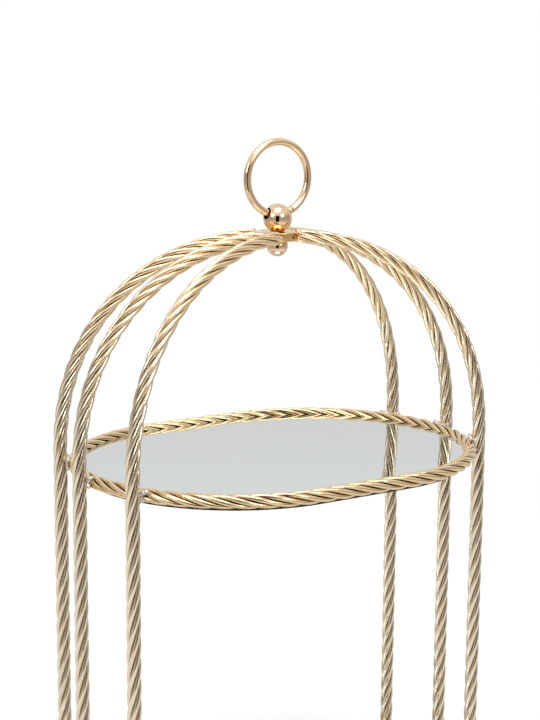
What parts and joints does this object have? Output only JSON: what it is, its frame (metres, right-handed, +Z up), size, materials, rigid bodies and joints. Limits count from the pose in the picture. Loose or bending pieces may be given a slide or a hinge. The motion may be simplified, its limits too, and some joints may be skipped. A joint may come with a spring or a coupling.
{
  "type": "tiered cake stand",
  "caption": "Free-standing two-tier cake stand: oval mirror trays in a birdcage frame of twisted rope wire, with a ball finial and a swinging ring handle.",
  "frame": {"origin": "on the floor under the hub, at the centre of the six end caps", "axes": "+Z up, X along the trays' long axis, Y across them; the swing axis of the ring handle is parallel to X"},
  "size_m": [0.3338, 0.238, 0.5434],
  "materials": {
    "rope_wire": "champagne-gold plated twisted steel rod, bright, with dark hollows between the strands",
    "polished_gold": "polished rose-gold plating on steel, near mirror bright",
    "mirror_glass": "clear silvered glass with ground edge",
    "base_board": "black painted fibreboard, matt",
    "cap_rubber": "black rubber, matt",
    "stud_steel": "zinc plated threaded rod"
  },
  "bodies": {
    "frame": {"upright_left_front": "rope_wire", "upright_left_tip": "rope_wire", "upright_left_back": "rope_wire", "upright_right_front": "rope_wire", "upright_right_tip": "rope_wire", "upright_right_back": "rope_wire", "upper_rim": "rope_wire", "lower_rim": "rope_wire", "upper_mirror": "mirror_glass", "lower_mirror": "mirror_glass", "upper_board": "base_board", "lower_board": "base_board", "hub": "polished_gold", "finial_ball": "polished_gold", "ball_nut": "polished_gold", "finial_stud": "stud_steel", "foot_cap_left_front": "cap_rubber", "foot_cap_left_tip": "cap_rubber", "foot_cap_left_back": "cap_rubber", "foot_cap_right_front": "cap_rubber", "foot_cap_right_tip": "cap_rubber", "foot_cap_right_back": "cap_rubber"},
    "handle": {"ring_handle": "polished_gold"}
  },
  "joints": [
    {"name": "handle_swing", "type": "hinge", "parent": "frame", "child": "handle", "pos_m": [0, 0, 0.4901], "axis": [1, 0, 0], "range_deg": [-110, 110]}
  ]
}
